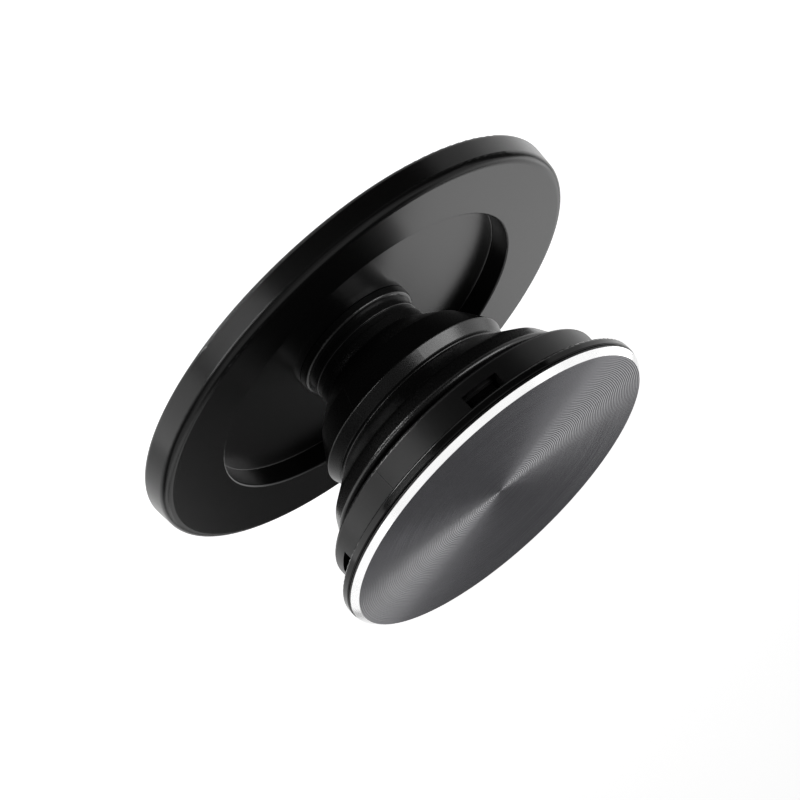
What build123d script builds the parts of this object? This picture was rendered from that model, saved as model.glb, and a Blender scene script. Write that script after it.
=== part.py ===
"""Collapsible phone grip, drawn pulled out to its full height.

A round base holds a ring of magnets above a soft back pad. A one-piece accordion turns on a snap plug in the
middle of the base's well. A collar with four windows clamps the accordion's wide rim under a snap-on cap, and
a bevelled metal plate is bonded to the cap.

Millimetres. The origin is the centre of the face that meets the phone, and +Z runs along the stem to the cap.
"""
import os
from math import asin, degrees, hypot, radians, tan

from build123d import *

# Base disc, whose well takes the collar when the grip is pushed flat
BASE_HEIGHT = 3.6
BASE_FRONT_ROUND = 1.05
BASE_BACK_ROUND = 0.5
BASE_SIDE_LEAN = 0.25
WELL_CLEARANCE = 1.75
WELL_DEPTH = 2.35
WELL_WALL_LEAN = 0.2
WELL_LIP_ROUND = 0.2
WELL_FLOOR_ROUND = 0.15

# Soft pad on the back, which stands proud of the base's rim
PAD_THICKNESS = 0.6
PAD_PROUD = 0.3
PAD_RIM_WIDTH = 1.1
PAD_EDGE_GAP = 0.12
PAD_EDGE_ROUND = 0.15

# Ring of arc magnets between the well and the rim, in a channel that the pad closes
MAGNET_COUNT = 16
MAGNET_WIDTH = 4.0
MAGNET_THICKNESS = 2.0
MAGNET_WELL_DISTANCE = 2.85
MAGNET_RIM_DISTANCE = 1.6
MAGNET_SPACING = 0.4
MAGNET_CLEARANCE = 0.1

# Snap plug that the accordion turns on
PLUG_RADIUS = 4.0
PLUG_WALL = 1.0
PLUG_HEAD_RADIUS = 6.4
PLUG_HEAD_THICKNESS = 0.35
PLUG_BARB_REACH = 0.55
PLUG_BARB_HEIGHT = 0.9
PLUG_BARB_LAND = 0.3
PLUG_SLOT_WIDTH = 0.9
PLUG_FINGER_PAIRS = 2
SWIVEL_CLEARANCE = 0.05
SWIVEL_PLAY = 0.05

# Accordion: foot, ribbed neck, lower cone with its knee, middle band, upper cone with its knee, waist and rim
ACCORDION_WALL = 0.85
LIP_THICKNESS = 0.9
NECK_RADIUS = 7.1
FOOT_REACH = 0.45
FOOT_HEIGHT = 1.05
FOOT_ROUND = 0.4
GROOVE_DEPTH = 0.25
FIRST_GROOVE_HEIGHT = 0.7
RIB_REACH = 0.2
RIB_HEIGHT = 0.5
RIB_ROUND = 0.1
SECOND_GROOVE_HEIGHT = 0.7
NECK_HEAD_HEIGHT = 1.2
NECK_ROUND = 0.2
LOWER_FLARE = 3.05
LOWER_FLARE_HEIGHT = 2.55
LOWER_SLOPE_HEIGHT = 3.4
MIDDLE_BAND_RADIUS = 12.25
MIDDLE_BAND_TAPER = 0.55
MIDDLE_BAND_HEIGHT = 1.48
MIDDLE_STEP = 0.4
MIDDLE_STEP_HEIGHT = 0.27
UPPER_FLARE = 3.84
UPPER_FLARE_HEIGHT = 3.0
UPPER_SLOPE_HEIGHT = 2.3
UPPER_BAND_RADIUS = 16.35
UPPER_STEP = 1.85
UPPER_STEP_HEIGHT = 0.6
FOLD_ROUND = 0.25
MIDDLE_BAND_ROUND = 0.3
UPPER_BAND_ROUND = 0.6
KNEE_ROUND = 1.2
WAIST_HEIGHT = 1.6
RIM_THICKNESS = 0.75

# Collar round the accordion's rim
COLLAR_RADIUS = 18.3
COLLAR_WALL = 1.2
COLLAR_LEDGE = 1.0
COLLAR_BACK_ROUND = 0.4
NEST_CLEARANCE = 0.3
RIM_CLEARANCE = 0.1
RIM_PLAY = 0.05
WINDOW_COUNT = 4
WINDOW_ANGLE = 14.6
WINDOW_HEIGHT = 1.7
WINDOW_BRIDGE = 0.65

# Cap with a skirt and four snap hooks
FLANGE_OVERHANG = 2.25
FLANGE_THICKNESS = 1.05
FLANGE_BACK_ROUND = 0.35
FLANGE_FRONT_ROUND = 0.15
SKIRT_LENGTH = 2.1
SKIRT_WALL = 1.0
SKIRT_CLEARANCE = 0.1
HOOK_ANGLE = 11.0
HOOK_SLIT = 0.6
HOOK_ROOT = 0.3
HOOK_REACH = 0.5
HOOK_LAND = 0.3
HOOK_HEIGHT = 0.85
HOOK_PLAY = 0.05

# Metal face plate on its adhesive film
FILM_THICKNESS = 0.1
FILM_MARGIN = 1.0
PLATE_SETBACK = 0.1
PLATE_THICKNESS = 0.92
BEVEL_WIDTH = 0.62
BEVEL_HEIGHT = 0.68

# Largest part of a side that one corner's round may take
SIDE_SHARE = 0.49

# Heights worked out from the sizes above
base_back = PAD_PROUD
pad_top = PAD_THICKNESS
base_face = base_back + BASE_HEIGHT
well_floor = base_face - WELL_DEPTH
accordion_seat = well_floor + SWIVEL_PLAY
lip_top = accordion_seat + LIP_THICKNESS
foot_top = accordion_seat + FOOT_HEIGHT
rib_back = foot_top + FIRST_GROOVE_HEIGHT
rib_front = rib_back + RIB_HEIGHT
neck_back = rib_front + SECOND_GROOVE_HEIGHT
neck_front = neck_back + NECK_HEAD_HEIGHT
lower_knee = neck_front + LOWER_FLARE_HEIGHT
middle_back = lower_knee + LOWER_SLOPE_HEIGHT
middle_front = middle_back + MIDDLE_BAND_HEIGHT
middle_fold = middle_front + MIDDLE_STEP_HEIGHT
upper_knee = middle_fold + UPPER_FLARE_HEIGHT
upper_front = upper_knee + UPPER_SLOPE_HEIGHT
upper_fold = upper_front + UPPER_STEP_HEIGHT
rim_back = upper_fold + WAIST_HEIGHT
rim_front = rim_back + RIM_THICKNESS
ledge_front = rim_back - RIM_PLAY
collar_back = ledge_front - COLLAR_LEDGE
skirt_back = rim_front + RIM_PLAY
flange_back = skirt_back + SKIRT_LENGTH
flange_front = flange_back + FLANGE_THICKNESS
plate_back = flange_front + FILM_THICKNESS
plate_front = plate_back + PLATE_THICKNESS
window_front = flange_back - WINDOW_BRIDGE
window_back = window_front - WINDOW_HEIGHT
plug_head_back = pad_top + SWIVEL_PLAY
plug_head_front = plug_head_back + PLUG_HEAD_THICKNESS
barb_back = lip_top + SWIVEL_PLAY
barb_front = barb_back + PLUG_BARB_HEIGHT

# Radii worked out from the sizes above
well_radius = COLLAR_RADIUS + WELL_CLEARANCE
magnet_inside = well_radius + MAGNET_WELL_DISTANCE
magnet_outside = magnet_inside + MAGNET_WIDTH
base_radius = magnet_outside + MAGNET_RIM_DISTANCE
pad_recess_radius = base_radius - PAD_RIM_WIDTH
foot_radius = NECK_RADIUS + FOOT_REACH
groove_radius = NECK_RADIUS - GROOVE_DEPTH
rib_radius = groove_radius + RIB_REACH
neck_inside = NECK_RADIUS - ACCORDION_WALL
swivel_hole_radius = PLUG_RADIUS + SWIVEL_CLEARANCE
collar_inside = COLLAR_RADIUS - COLLAR_WALL
ledge_inside = UPPER_BAND_RADIUS + NEST_CLEARANCE
rim_radius = collar_inside - RIM_CLEARANCE
skirt_radius = collar_inside - SKIRT_CLEARANCE
skirt_inside = skirt_radius - SKIRT_WALL
flange_radius = COLLAR_RADIUS + FLANGE_OVERHANG
plate_radius = flange_radius - PLATE_SETBACK


def section(points, rounds=None):
    """Closed half section in the XZ plane from (radius, height) points, each with its corner round.

    A round is limited so that two neighbours share the side between them.
    """
    rounds = rounds or {}
    corners = [Vector(radius, 0, height) for radius, height in points]
    radii = []
    for index, corner in enumerate(corners):
        back = corners[index - 1] - corner
        ahead = corners[(index + 1) % len(corners)] - corner
        half_angle = radians(back.get_angle(ahead) / 2)
        longest = SIDE_SHARE * min(back.length, ahead.length) * tan(half_angle)
        radii.append(min(rounds.get(index, 0), longest))
    return make_face(FilletPolyline(*corners, radius=radii, close=True))


def turned(points, rounds=None):
    """Solid of revolution about the stem's axis."""
    return revolve(section(points, rounds), Axis.Z)


def sector(points, angle, centre):
    """Part of a solid of revolution, angle degrees wide about the direction centre."""
    return Rot(Z=centre - angle / 2) * revolve(section(points), Axis.Z, angle)


def inset(outline, distance):
    """Parallel of an open outline, distance to its left, with mitred corners."""
    sides = []
    for (r0, z0), (r1, z1) in zip(outline, outline[1:]):
        length = hypot(r1 - r0, z1 - z0)
        step_r = (r1 - r0) / length
        step_z = (z1 - z0) / length
        sides.append((r0 - step_z * distance, z0 + step_r * distance, step_r, step_z))
    corners = []
    for (ra, za, ua, va), (rb, zb, ub, vb) in zip(sides, sides[1:]):
        along = ((rb - ra) * vb - (zb - za) * ub) / (ua * vb - va * ub)
        corners.append((ra + along * ua, za + along * va))
    return corners


def make_base():
    """Moulded disc: rounded rim, drafted well, and on the back the pad recess, magnet channel and plug seat."""
    floor_radius = well_radius - WELL_WALL_LEAN
    outline = [
        (swivel_hole_radius, pad_top),
        (pad_recess_radius, pad_top),
        (pad_recess_radius, base_back),
        (base_radius, base_back),
        (base_radius - BASE_SIDE_LEAN, base_face),
        (well_radius, base_face),
        (floor_radius, well_floor),
        (swivel_hole_radius, well_floor),
    ]
    rounds = {3: BASE_BACK_ROUND, 4: BASE_FRONT_ROUND, 5: WELL_LIP_ROUND, 6: WELL_FLOOR_ROUND}
    channel = [
        (magnet_inside - MAGNET_CLEARANCE, base_back),
        (magnet_outside + MAGNET_CLEARANCE, base_back),
        (magnet_outside + MAGNET_CLEARANCE, pad_top + MAGNET_THICKNESS + MAGNET_CLEARANCE),
        (magnet_inside - MAGNET_CLEARANCE, pad_top + MAGNET_THICKNESS + MAGNET_CLEARANCE),
    ]
    plug_seat = [
        (0, base_back),
        (PLUG_HEAD_RADIUS + SWIVEL_CLEARANCE, base_back),
        (PLUG_HEAD_RADIUS + SWIVEL_CLEARANCE, plug_head_front + SWIVEL_PLAY),
        (0, plug_head_front + SWIVEL_PLAY),
    ]
    return turned(outline, rounds) - turned(channel) - turned(plug_seat)


def make_back_pad():
    """Soft disc in the base's recess, with a softened outer edge."""
    edge = pad_recess_radius - PAD_EDGE_GAP
    return turned([(0, 0), (edge, 0), (edge, pad_top), (0, pad_top)], {1: PAD_EDGE_ROUND})


def make_magnet(index):
    """One arc magnet of the ring, lying on the pad."""
    pitch = 360 / MAGNET_COUNT
    middle_radius = (magnet_inside + magnet_outside) / 2
    spacing_angle = 2 * degrees(asin(MAGNET_SPACING / 2 / middle_radius))
    block = [
        (magnet_inside, pad_top),
        (magnet_outside, pad_top),
        (magnet_outside, pad_top + MAGNET_THICKNESS),
        (magnet_inside, pad_top + MAGNET_THICKNESS),
    ]
    return sector(block, pitch - spacing_angle, pitch * (index + 0.5))


def make_swivel_plug():
    """Headed plug whose slotted, barbed fingers snap over the accordion's lip."""
    outline = [
        (0, plug_head_back),
        (PLUG_HEAD_RADIUS, plug_head_back),
        (PLUG_HEAD_RADIUS, plug_head_front),
        (PLUG_RADIUS, plug_head_front),
        (PLUG_RADIUS, barb_back),
        (PLUG_RADIUS + PLUG_BARB_REACH, barb_back),
        (PLUG_RADIUS + PLUG_BARB_REACH, barb_back + PLUG_BARB_LAND),
        (PLUG_RADIUS, barb_front),
        (PLUG_RADIUS - PLUG_WALL, barb_front),
        (PLUG_RADIUS - PLUG_WALL, plug_head_front),
        (0, plug_head_front),
    ]
    plug = turned(outline)
    slot_length = barb_front - accordion_seat
    slot_span = 2 * (PLUG_RADIUS + PLUG_BARB_REACH) + PLUG_SLOT_WIDTH
    slot = Box(slot_span, PLUG_SLOT_WIDTH, slot_length, align=(Align.CENTER, Align.CENTER, Align.MIN))
    for index in range(PLUG_FINGER_PAIRS):
        plug -= Pos(Z=accordion_seat) * Rot(Z=180 / PLUG_FINGER_PAIRS * index) * slot
    return plug


def make_accordion():
    """One thin moulding: flat foot with an inner lip, ribbed neck, two folding cones, and the rim."""
    middle_edge = MIDDLE_BAND_RADIUS - MIDDLE_BAND_TAPER
    fold_radius = middle_edge - MIDDLE_STEP
    waist = UPPER_BAND_RADIUS - UPPER_STEP
    neck = [
        (swivel_hole_radius, accordion_seat),
        (foot_radius, accordion_seat),
        (foot_radius, foot_top),
        (groove_radius, foot_top),
        (groove_radius, rib_back),
        (rib_radius, rib_back),
        (rib_radius, rib_front),
        (groove_radius, rib_front),
        (groove_radius, neck_back),
    ]
    folds = [
        (NECK_RADIUS, neck_back),
        (NECK_RADIUS, neck_front),
        (NECK_RADIUS + LOWER_FLARE, lower_knee),
        (MIDDLE_BAND_RADIUS, middle_back),
        (middle_edge, middle_front),
        (fold_radius, middle_fold),
        (fold_radius + UPPER_FLARE, upper_knee),
        (UPPER_BAND_RADIUS, upper_front),
        (waist, upper_fold),
        (waist, rim_back),
    ]
    rim = [(rim_radius, rim_back), (rim_radius, rim_front), (waist - ACCORDION_WALL, rim_front)]
    lining = inset(folds, ACCORDION_WALL)[::-1]
    bore = [(neck_inside, lip_top), (swivel_hole_radius, lip_top)]
    first_fold = len(neck)
    rounds = {
        2: FOOT_ROUND,
        5: RIB_ROUND,
        6: RIB_ROUND,
        first_fold: NECK_ROUND,
        first_fold + 1: FOLD_ROUND,
        first_fold + 2: KNEE_ROUND,
        first_fold + 3: MIDDLE_BAND_ROUND,
        first_fold + 4: FOLD_ROUND,
        first_fold + 5: FOLD_ROUND,
        first_fold + 6: KNEE_ROUND,
        first_fold + 7: UPPER_BAND_ROUND,
        first_fold + 8: FOLD_ROUND,
    }
    return turned(neck + folds + rim + lining + bore, rounds)


def window_directions():
    """Directions of the collar's windows and the cap's hooks, in degrees."""
    return [360 / WINDOW_COUNT * index for index in range(WINDOW_COUNT)]


def make_collar():
    """Ring round the accordion's rim: an inner ledge below and four windows for the cap's hooks."""
    outline = [
        (ledge_inside, collar_back),
        (COLLAR_RADIUS, collar_back),
        (COLLAR_RADIUS, flange_back),
        (collar_inside, flange_back),
        (collar_inside, ledge_front),
        (ledge_inside, ledge_front),
    ]
    opening = [
        (collar_inside - COLLAR_WALL / 2, window_back),
        (COLLAR_RADIUS + COLLAR_WALL / 2, window_back),
        (COLLAR_RADIUS + COLLAR_WALL / 2, window_front),
        (collar_inside - COLLAR_WALL / 2, window_front),
    ]
    collar = turned(outline, {1: COLLAR_BACK_ROUND})
    for direction in window_directions():
        collar -= sector(opening, WINDOW_ANGLE, direction)
    return collar


def make_cap():
    """Flange disc with a skirt that presses on the rim, and barbed hooks slit out of the skirt."""
    outline = [
        (0, flange_back),
        (skirt_inside, flange_back),
        (skirt_inside, skirt_back),
        (skirt_radius, skirt_back),
        (skirt_radius, flange_back),
        (flange_radius, flange_back),
        (flange_radius, flange_front),
        (0, flange_front),
    ]
    barb_front_height = window_front - HOOK_PLAY
    barb = [
        (skirt_radius - SKIRT_WALL / 2, barb_front_height),
        (skirt_radius + HOOK_REACH, barb_front_height),
        (skirt_radius + HOOK_REACH, barb_front_height - HOOK_LAND),
        (skirt_radius, barb_front_height - HOOK_HEIGHT),
        (skirt_radius - SKIRT_WALL / 2, barb_front_height - HOOK_HEIGHT),
    ]
    slit_length = SKIRT_LENGTH - HOOK_ROOT
    slit = Pos(X=skirt_radius - SKIRT_WALL / 2, Z=skirt_back) * Box(
        2 * SKIRT_WALL, HOOK_SLIT, slit_length, align=(Align.CENTER, Align.CENTER, Align.MIN)
    )
    slit_angle = HOOK_ANGLE / 2 + degrees(asin(HOOK_SLIT / 2 / skirt_inside))
    cap = turned(outline, {5: FLANGE_BACK_ROUND, 6: FLANGE_FRONT_ROUND})
    for direction in window_directions():
        cap += sector(barb, HOOK_ANGLE, direction)
        for side in (-1, 1):
            cap -= Rot(Z=direction + side * slit_angle) * slit
    return cap


def make_face_film():
    """Adhesive film between the cap and its plate."""
    edge = plate_radius - FILM_MARGIN
    return turned([(0, flange_front), (edge, flange_front), (edge, plate_back), (0, plate_back)])


def make_face_plate():
    """Metal disc with a cut bevel round its front edge."""
    return turned([
        (0, plate_back),
        (plate_radius, plate_back),
        (plate_radius, plate_front - BEVEL_HEIGHT),
        (plate_radius - BEVEL_WIDTH, plate_front),
        (0, plate_front),
    ])


pieces = {
    "base": make_base(),
    "back_pad": make_back_pad(),
    "swivel_plug": make_swivel_plug(),
    "accordion": make_accordion(),
    "collar": make_collar(),
    "cap": make_cap(),
    "face_film": make_face_film(),
    "face_plate": make_face_plate(),
}
for number in range(MAGNET_COUNT):
    pieces[f"magnet_{number + 1:02d}"] = make_magnet(number)

os.makedirs("parts", exist_ok=True)
for name, piece in pieces.items():
    export_step(piece, f"parts/{name}.step")
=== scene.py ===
"""Looks of the collapsible phone grip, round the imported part. Metres, in the part's own frame."""

import random
from math import cos, hypot, pi, radians, sin

import bpy
from mathutils import Matrix, Vector


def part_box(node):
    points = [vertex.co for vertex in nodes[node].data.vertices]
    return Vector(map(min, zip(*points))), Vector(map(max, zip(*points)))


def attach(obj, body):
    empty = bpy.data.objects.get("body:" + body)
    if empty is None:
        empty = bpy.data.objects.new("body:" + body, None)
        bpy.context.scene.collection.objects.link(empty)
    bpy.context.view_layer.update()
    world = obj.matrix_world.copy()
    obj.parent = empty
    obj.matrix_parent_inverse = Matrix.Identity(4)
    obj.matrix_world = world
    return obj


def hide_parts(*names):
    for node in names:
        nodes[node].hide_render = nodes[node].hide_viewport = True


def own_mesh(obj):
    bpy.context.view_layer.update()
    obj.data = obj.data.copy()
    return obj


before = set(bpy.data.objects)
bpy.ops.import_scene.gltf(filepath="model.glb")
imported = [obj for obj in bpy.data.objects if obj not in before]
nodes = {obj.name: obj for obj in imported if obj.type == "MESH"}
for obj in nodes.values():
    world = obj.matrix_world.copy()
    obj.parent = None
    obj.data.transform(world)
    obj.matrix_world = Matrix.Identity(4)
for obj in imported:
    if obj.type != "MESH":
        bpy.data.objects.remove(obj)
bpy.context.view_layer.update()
scene = bpy.context.scene
MM = 0.001
WHITE = (1, 1, 1, 1)

# Camera, found by fitting the photograph's ellipses
IMAGE_SIZE = 800
FOCAL_LENGTH_PIXELS = 5532.8
PIXELS_PER_MM = 9.21
AXIS_PIXEL = (347.12, 329.96)
AXIS_PIXEL_HEIGHT = 0.45 * MM
CAMERA_ELEVATION = radians(19.815)
CAMERA_AZIMUTH = radians(19.0)
PICTURE_ROLL = radians(46.425)
SENSOR_WIDTH = 36.0
CLIP_START = 0.01

# Directions of the studio, level with the base: towards the camera, and to the photograph's upper right
TOWARD = Vector((cos(CAMERA_AZIMUTH), sin(CAMERA_AZIMUTH), 0.0))
ACROSS = Vector((sin(CAMERA_AZIMUTH), -cos(CAMERA_AZIMUTH), 0.0))
UP = Vector((0.0, 0.0, 1.0))
NEARLY_UPRIGHT = 0.99

# Floor and world, which fades from pale to dim over the band of heights of a direction
FLOOR_DROP = 0.16
FLOOR_REACH = 4.0
FLOOR_COLOR = 0.8
FLOOR_GLOW = 0.9
SKY_LEVEL = 0.025
HORIZON_BAND = (-0.1, 0.15)

# Dark card that stands in front of the grip, below the camera, and shows only in its gloss
CARD_DISTANCE = 0.25
CARD_HEIGHTS = (-0.15, 0.0)
CARD_BEARINGS = (-58, 76)
CARD_SEGMENTS = 24
CARD_COLOR = 0.01

# Lamps: name, place and aim (towards the camera, across, up), width, height, radiance
MIDDLE = (0.0, 0.0, 0.013)
LAMPS = (
    ("top_lamp", (0.20, 0.0, 0.45), (0.20, 0.0, 0.0), 0.90, 0.40, 1.08),
    ("top_back_lamp", (-0.27, 0.0, 0.33), MIDDLE, 0.80, 0.16, 0.65),
    ("right_wing", (-0.20, 0.42, 0.36), MIDDLE, 0.55, 0.34, 1.1),
    ("left_wing", (-0.20, -0.42, 0.36), MIDDLE, 0.55, 0.34, 1.15),
    ("front_fill", (0.50, 0.0, 0.34), MIDDLE, 0.50, 0.22, 0.6),
    ("right_front_fill", (0.287, 0.41, 0.34), MIDDLE, 0.50, 0.22, 0.7),
    ("left_front_fill", (0.287, -0.41, 0.34), MIDDLE, 0.50, 0.22, 0.7),
    ("right_end_lamp", (-0.36, 0.27, 0.125), MIDDLE, 0.18, 0.12, 1.1),
    ("left_end_lamp", (-0.36, -0.27, 0.125), MIDDLE, 0.18, 0.12, 1.15),
    ("right_back_lamp", (-0.19, 0.23, -0.09), MIDDLE, 0.25, 0.12, 0.4),
    ("left_lamp", (0.05, -0.30, -0.09), MIDDLE, 0.25, 0.12, 2.1),
    ("back_right_lamp", (-0.26, 0.127, 0.11), (0.0, 0.06, 0.013), 0.243, 0.16, 1.6),
    ("back_left_lamp", (-0.26, -0.098, 0.126), (0.0, -0.04, 0.013), 0.11, 0.13, 0.9),
    ("front_lamp", (0.168, -0.109, -0.018), MIDDLE, 0.14, 0.028, 15.0),
    ("low_lamp", (0.109, -0.071, -0.117), MIDDLE, 0.10, 0.04, 30.0),
)
STEM_LAMPS = (
    ("key_lamp", (0.216, 0.360, 0.125), MIDDLE, 0.415, 0.12, 13.0),
    ("right_lamp", (-0.05, 0.36, 0.08), MIDDLE, 0.50, 0.18, 2.0),
)

# Lathe rings of the face plate; a ring's shape is in shares of its pitch and its depth
RING_PITCH = 0.23 * MM
RING_DEPTH = 0.038 * MM
RING_SHALLOWEST = 0.75
RING_SHAPE = ((0.25, 0.5), (0.5, 1.0), (0.75, 0.5), (1.0, 0.0))
RING_SEGMENTS = 256
RING_SEED = 7
SHARP_ANGLE = radians(28)
SAME_PLACE = 1e-6

# Numbers of the face plate's materials
EDGE, BEVEL, RINGS = range(3)

# Parting line of the collar and the accordion, midway between two windows
PARTING_BEARING = radians(45)
PARTING_WIDTH = 0.12 * MM
PARTING_HEIGHT = 0.03 * MM

# Unevenness of the materials: sizes and octaves of the noise, and shares by which it moves a value
MOULDED_CLOUD = 4 * MM
MOULDED_TONE_SHARE = 0.2
MOULDED_SATIN_SHARE = 0.15
METAL_CLOUD = 3 * MM
METAL_TONE_SHARE = 0.08
METAL_SATIN = 0.2 * MM
METAL_SATIN_SHARE = 0.1
CLOUD_DETAIL = 3
GRAIN_DETAIL = 2

# Mouldings; grain is the size of the bumps, depth their height, parting the height of the parting line
MOULDINGS = {
    "base_plastic": dict(shade=0.002, roughness=0.24, specular=0.17, grain=0.15 * MM, depth=1.5e-6),
    "pad_rubber": dict(shade=0.012, roughness=0.7, specular=0.3, grain=0.25 * MM, depth=6e-6),
    "collar_plastic": dict(shade=0.002, roughness=0.34, specular=0.16, grain=0.12 * MM, depth=1e-6,
                           parting=PARTING_HEIGHT),
    "cap_plastic": dict(shade=0.002, roughness=0.14, specular=0.14, grain=0.12 * MM, depth=0.5e-6),
    "plug_plastic": dict(shade=0.006, roughness=0.45, specular=0.3, grain=0.15 * MM, depth=1e-6),
    "film_adhesive": dict(shade=0.02, roughness=0.6, specular=0.3, grain=0.1 * MM, depth=1e-6),
    "accordion_rubber": dict(shade=0.0015, roughness=0.28, specular=0.22, grain=0.12 * MM, depth=2.2e-6,
                             parting=PARTING_HEIGHT),
    "plate_edge": dict(shade=0.003, roughness=0.4, specular=0.12, grain=0.1 * MM, depth=1e-6),
}

# Metals, their tints, and the turn that draws the sheen out across the rings
SILVER = (1.0, 1.0, 1.0)
GUNMETAL = (0.985, 0.98, 1.06)
NICKEL = (1.0, 0.98, 0.94)
SHEEN_TURN = 0.25
METALS = {
    "magnet_nickel": dict(shade=0.55, tint=NICKEL, roughness=0.25, anisotropy=0.0),
    "cut_bevel": dict(shade=0.85, tint=SILVER, roughness=0.2, anisotropy=0.0),
    "ring_turned_aluminium": dict(shade=0.105, tint=GUNMETAL, roughness=0.3, anisotropy=0.8),
}

# CAD nodes that keep their own mesh, with their materials
DRESSED = {
    "base": "base_plastic",
    "back_pad": "pad_rubber",
    "collar": "collar_plastic",
    "cap": "cap_plastic",
    "swivel_plug": "plug_plastic",
    "face_film": "film_adhesive",
}


def studio(toward, across, up):
    """Point of the studio, in the part's frame."""
    return TOWARD * toward + ACROSS * across + UP * up


def add_piece(name, mesh):
    """New object of the scene from a mesh."""
    piece = bpy.data.objects.new(name, mesh)
    scene.collection.objects.link(piece)
    return piece


def make_camera():
    """Camera at the photograph's angle, from the stem's direction in the picture."""
    stem = Vector((
        cos(CAMERA_ELEVATION) * cos(PICTURE_ROLL),
        cos(CAMERA_ELEVATION) * sin(PICTURE_ROLL),
        -sin(CAMERA_ELEVATION),
    ))
    across = stem.cross(Vector((0, 0, 1))).normalized()
    toward = stem.cross(across)
    part_x = cos(CAMERA_AZIMUTH) * toward + sin(CAMERA_AZIMUTH) * across
    part_y = stem.cross(part_x)
    right, down, forward = (Vector((part_x[i], part_y[i], stem[i])) for i in range(3))
    distance = FOCAL_LENGTH_PIXELS / PIXELS_PER_MM * MM
    offset_right = (AXIS_PIXEL[0] - IMAGE_SIZE / 2) / FOCAL_LENGTH_PIXELS * distance
    offset_down = (AXIS_PIXEL[1] - IMAGE_SIZE / 2) / FOCAL_LENGTH_PIXELS * distance
    target = Vector((0, 0, AXIS_PIXEL_HEIGHT))
    place = target - right * offset_right - down * offset_down - forward * distance
    data = bpy.data.cameras.new("camera")
    data.sensor_width = SENSOR_WIDTH
    data.lens = SENSOR_WIDTH * FOCAL_LENGTH_PIXELS / IMAGE_SIZE
    data.clip_start = CLIP_START
    camera = add_piece("camera", data)
    turn = Matrix((right, -down, -forward)).transposed()
    camera.matrix_world = Matrix.Translation(place) @ turn.to_4x4()
    scene.camera = camera


def link(tree, source, socket, target, name):
    """Joins one shader node's output to another's input, by name or number."""
    tree.links.new(source.outputs[socket], target.inputs[name])


def shader_node(tree, kind, **values):
    """New shader node of a tree, with some of its inputs set."""
    made = tree.nodes.new("ShaderNode" + kind)
    for name, value in values.items():
        made.inputs[name.replace("_", " ")].default_value = value
    return made


def math_node(tree, operation, first, second):
    """Math node on two values, each a number or a (node, output) pair."""
    made = tree.nodes.new("ShaderNodeMath")
    made.operation = operation
    for index, value in enumerate((first, second)):
        if isinstance(value, tuple):
            link(tree, value[0], value[1], made, index)
        else:
            made.inputs[index].default_value = value
    return made


def spread(tree, noise, value, share):
    """Map Range node that moves a value up and down by a share of it, as the noise goes from 0 to 1."""
    made = shader_node(tree, "MapRange", To_Min=value * (1 - share), To_Max=value * (1 + share))
    link(tree, noise, 0, made, "Value")
    return made


def empty_material(name):
    """New material with no shader nodes yet, and its tree."""
    material = bpy.data.materials.new(name)
    material.use_nodes = True
    material.node_tree.nodes.clear()
    return material, material.node_tree


def softbox(name, place, aim, width, height, radiance):
    """Rectangular lamp of an even radiance, aimed at a point of the studio; its width lies level."""
    data = bpy.data.lights.new(name, "AREA")
    data.shape = "RECTANGLE"
    data.size = width
    data.size_y = height
    data.energy = radiance * pi * width * height
    lamp = add_piece(name, data)
    away = (studio(*place) - studio(*aim)).normalized()
    level = ACROSS if abs(away.z) > NEARLY_UPRIGHT else UP.cross(away).normalized()
    turn = Matrix((level, away.cross(level), away)).transposed()
    lamp.matrix_world = Matrix.Translation(studio(*place)) @ turn.to_4x4()
    lamp.visible_camera = False
    return lamp


def make_floor():
    """Pale floor under the hovering grip, near white to the camera and in reflections, with its shadow."""
    signs = ((-1, -1), (1, -1), (1, 1), (-1, 1))
    corners = [(x * FLOOR_REACH, y * FLOOR_REACH, -FLOOR_DROP) for x, y in signs]
    mesh = bpy.data.meshes.new("floor")
    mesh.from_pydata(corners, [], [(0, 1, 2, 3)])
    floor = add_piece("floor", mesh)
    material, tree = empty_material("floor")
    output = shader_node(tree, "OutputMaterial")
    diffuse = shader_node(tree, "BsdfDiffuse", Color=(FLOOR_COLOR, FLOOR_COLOR, FLOOR_COLOR, 1))
    path = shader_node(tree, "LightPath")
    seen = math_node(tree, "MAXIMUM", (path, "Is Camera Ray"), (path, "Is Glossy Ray"))
    seen = math_node(tree, "MAXIMUM", (seen, 0), (path, "Is Transmission Ray"))
    strength = math_node(tree, "MULTIPLY", (seen, 0), FLOOR_GLOW)
    glow = shader_node(tree, "Emission")
    link(tree, strength, 0, glow, "Strength")
    both = shader_node(tree, "AddShader")
    link(tree, diffuse, 0, both, 0)
    link(tree, glow, 0, both, 1)
    link(tree, both, 0, output, "Surface")
    mesh.materials.append(material)


def make_world():
    """Dim studio above the horizon and pale below it."""
    world = bpy.data.worlds.new("studio")
    world.use_nodes = True
    tree = world.node_tree
    background = tree.nodes["Background"]
    background.inputs["Color"].default_value = WHITE
    coordinates = shader_node(tree, "TexCoord")
    split = shader_node(tree, "SeparateXYZ")
    link(tree, coordinates, "Generated", split, 0)
    low, high = HORIZON_BAND
    level = shader_node(tree, "MapRange", From_Min=low, From_Max=high, To_Min=FLOOR_GLOW, To_Max=SKY_LEVEL)
    link(tree, split, "Z", level, "Value")
    link(tree, level, 0, background, "Strength")
    scene.world = world


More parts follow.
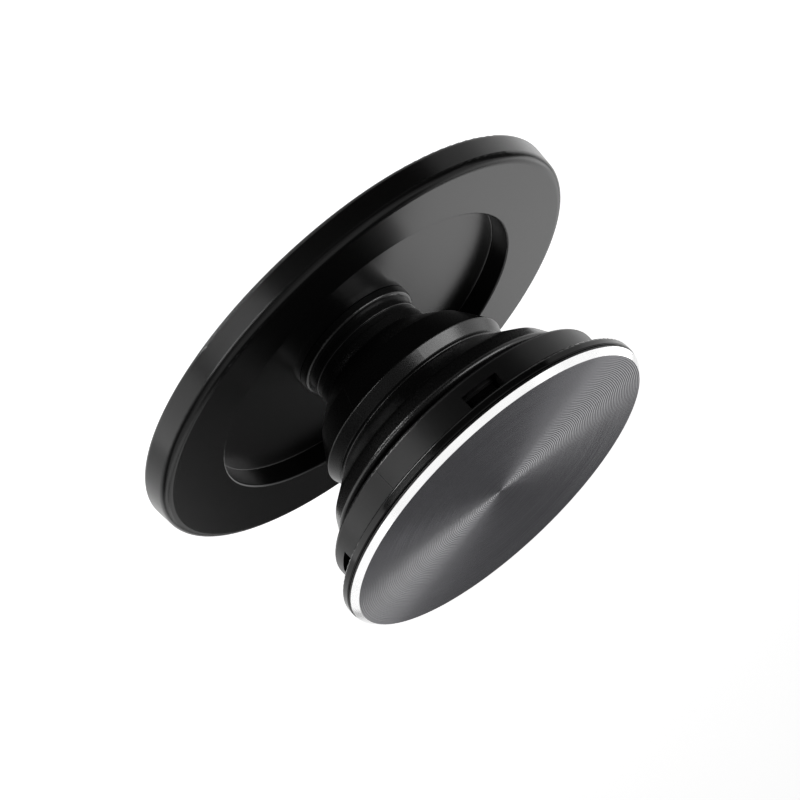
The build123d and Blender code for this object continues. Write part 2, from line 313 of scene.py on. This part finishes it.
def make_card():
    """Curved dark card, as photographers stand by shiny black things, so that their front stays black."""
    verts = []
    for height in CARD_HEIGHTS:
        for index in range(CARD_SEGMENTS + 1):
            share = index / CARD_SEGMENTS
            bearing = radians(CARD_BEARINGS[0] * (1 - share) + CARD_BEARINGS[1] * share)
            verts.append(studio(CARD_DISTANCE * cos(bearing), CARD_DISTANCE * sin(bearing), height))
    row = CARD_SEGMENTS + 1
    faces = [(index, index + 1, row + index + 1, row + index) for index in range(CARD_SEGMENTS)]
    mesh = bpy.data.meshes.new("card")
    mesh.from_pydata(verts, [], faces)
    card = add_piece("card", mesh)
    material, tree = empty_material("card")
    diffuse = shader_node(tree, "BsdfDiffuse", Color=(CARD_COLOR, CARD_COLOR, CARD_COLOR, 1))
    link(tree, diffuse, 0, shader_node(tree, "OutputMaterial"), "Surface")
    mesh.materials.append(material)
    card.visible_camera = False
    card.visible_diffuse = False
    card.visible_shadow = False
    card.visible_transmission = False


def light_stem(stem):
    """Lamps that draw the bright streaks on the stem, and are kept off the other pieces, as by flags."""
    for values in STEM_LAMPS:
        lamp = softbox(*values)
        lit = bpy.data.collections.new(lamp.name + "_lit")
        lit.objects.link(stem)
        lamp.light_linking.receiver_collection = lit


def surface_noise(tree, size, detail):
    """Noise over the object's own place, with features of about that size."""
    coordinates = shader_node(tree, "TexCoord")
    noise = shader_node(tree, "TexNoise", Scale=1 / size, Detail=detail)
    link(tree, coordinates, "Object", noise, "Vector")
    return noise


def principled(name):
    """New material with its tree and its shader."""
    material = bpy.data.materials.new(name)
    material.use_nodes = True
    return material, material.node_tree, material.node_tree.nodes["Principled BSDF"]


def parting_line(tree):
    """Narrow ridge where the mould's halves met, on two opposite sides; 1 on the line and 0 beside it."""
    coordinates = shader_node(tree, "TexCoord")
    across = tree.nodes.new("ShaderNodeVectorMath")
    across.operation = "DOT_PRODUCT"
    link(tree, coordinates, "Object", across, 0)
    across.inputs[1].default_value = (sin(PARTING_BEARING), -cos(PARTING_BEARING), 0)
    distance = math_node(tree, "ABSOLUTE", (across, "Value"), 0.0)
    ridge = shader_node(tree, "MapRange", From_Min=0.0, From_Max=PARTING_WIDTH / 2, To_Min=1.0, To_Max=0.0)
    link(tree, distance, 0, ridge, "Value")
    return ridge


def moulded(name, shade, roughness, specular, grain, depth, parting=0.0):
    """Black moulding: uneven satin, a faint cloud in the colour, a fine grain, perhaps a parting line."""
    material, tree, shader = principled(name)
    tone = spread(tree, surface_noise(tree, MOULDED_CLOUD, CLOUD_DETAIL), shade, MOULDED_TONE_SHARE)
    color = shader_node(tree, "CombineColor")
    for channel in ("Red", "Green", "Blue"):
        link(tree, tone, 0, color, channel)
    link(tree, color, 0, shader, "Base Color")
    fine = surface_noise(tree, grain, GRAIN_DETAIL)
    satin = spread(tree, fine, roughness, MOULDED_SATIN_SHARE)
    link(tree, satin, 0, shader, "Roughness")
    height = math_node(tree, "MULTIPLY", (fine, 0), depth)
    if parting:
        ridge = math_node(tree, "MULTIPLY", (parting_line(tree), 0), parting)
        height = math_node(tree, "ADD", (height, 0), (ridge, 0))
    bump = shader_node(tree, "Bump", Strength=1.0, Distance=1.0)
    link(tree, height, 0, bump, "Height")
    link(tree, bump, 0, shader, "Normal")
    shader.inputs["Specular IOR Level"].default_value = specular
    return material


def turned_metal(name, shade, tint, roughness, anisotropy):
    """Bare metal with uneven satin; with anisotropy, its sheen is drawn out across the lathe's rings."""
    material, tree, shader = principled(name)
    shader.inputs["Metallic"].default_value = 1.0
    tone = spread(tree, surface_noise(tree, METAL_CLOUD, CLOUD_DETAIL), shade, METAL_TONE_SHARE)
    color = shader_node(tree, "CombineColor")
    for channel, share in zip(("Red", "Green", "Blue"), tint):
        link(tree, math_node(tree, "MULTIPLY", (tone, 0), share), 0, color, channel)
    link(tree, color, 0, shader, "Base Color")
    satin = spread(tree, surface_noise(tree, METAL_SATIN, GRAIN_DETAIL), roughness, METAL_SATIN_SHARE)
    link(tree, satin, 0, shader, "Roughness")
    if anisotropy:
        shader.inputs["Anisotropic"].default_value = anisotropy
        shader.inputs["Anisotropic Rotation"].default_value = SHEEN_TURN
        tangent = shader_node(tree, "Tangent")
        tangent.direction_type = "RADIAL"
        tangent.axis = "Z"
        link(tree, tangent, 0, shader, "Tangent")
    return material


def turned(name, profile, segments, bands):
    """Piece of revolution from (radius, height) points; bands gives each side's material number."""
    verts = []
    rings = []
    for radius, height in profile:
        if radius == 0:
            rings.append([len(verts)])
            verts.append((0, 0, height))
            continue
        rings.append(list(range(len(verts), len(verts) + segments)))
        for index in range(segments):
            angle = 2 * pi * index / segments
            verts.append((radius * cos(angle), radius * sin(angle), height))
    faces = []
    numbers = []
    for lower, upper, band in zip(rings, rings[1:], bands):
        for index in range(segments):
            follow = (index + 1) % segments
            corners = [lower[index % len(lower)], lower[follow % len(lower)],
                       upper[follow % len(upper)], upper[index % len(upper)]]
            faces.append(list(dict.fromkeys(corners)))
            numbers.append(band)
    mesh = bpy.data.meshes.new(name)
    mesh.from_pydata(verts, [], faces)
    mesh.shade_smooth()
    mesh.polygons.foreach_set("material_index", numbers)
    mesh.set_sharp_from_angle(angle=SHARP_ANGLE)
    return add_piece(name, mesh)


def make_face_plate():
    """The metal plate with its lathe-cut rings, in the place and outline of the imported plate."""
    lowest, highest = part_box("face_plate")
    edge = highest.x
    back, front = lowest.z, highest.z
    points = [vertex.co for vertex in nodes["face_plate"].data.vertices]
    bevel_inside = max(hypot(p.x, p.y) for p in points if abs(p.z - front) < SAME_PLACE)
    bevel_back = max(p.z for p in points if hypot(p.x, p.y) > edge - SAME_PLACE)
    profile = [(0, back), (edge, back), (edge, bevel_back), (bevel_inside, front)]
    bands = [EDGE, EDGE, BEVEL]
    count = round(bevel_inside / RING_PITCH)
    chance = random.Random(RING_SEED)
    for ring in range(count, 0, -1):
        depth = RING_DEPTH * chance.uniform(RING_SHALLOWEST, 1.0)
        for part, share in RING_SHAPE:
            profile.append((bevel_inside * (ring - part) / count, front - depth * share))
            bands.append(RINGS)
    plate = turned("turned_face_plate", profile, RING_SEGMENTS, bands)
    plate.data.materials.append(moulded("plate_edge", **MOULDINGS["plate_edge"]))
    for name in ("cut_bevel", "ring_turned_aluminium"):
        plate.data.materials.append(turned_metal(name, **METALS[name]))
    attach(plate, "top")
    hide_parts("face_plate")


def make_accordion():
    """The stem's bellows: a copy of the imported accordion with its rubber, carried with the stem."""
    piece = add_piece("bellows", nodes["accordion"].data.copy())
    piece.data.materials.clear()
    piece.data.materials.append(moulded("accordion_rubber", **MOULDINGS["accordion_rubber"]))
    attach(piece, "stem")
    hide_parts("accordion")
    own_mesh(piece)
    return piece


def dress(names, material):
    """Gives CAD nodes a material."""
    for name in names:
        slots = nodes[name].data.materials
        slots.clear()
        slots.append(material)


make_camera()
make_floor()
make_world()
make_card()
for values in LAMPS:
    softbox(*values)
for name, finish in DRESSED.items():
    dress([name], moulded(finish, **MOULDINGS[finish]))
magnets = [name for name in nodes if name.startswith("magnet")]
dress(magnets, turned_metal("magnet_nickel", **METALS["magnet_nickel"]))
light_stem(make_accordion())
make_face_plate()

scene.view_settings.view_transform = "Standard"
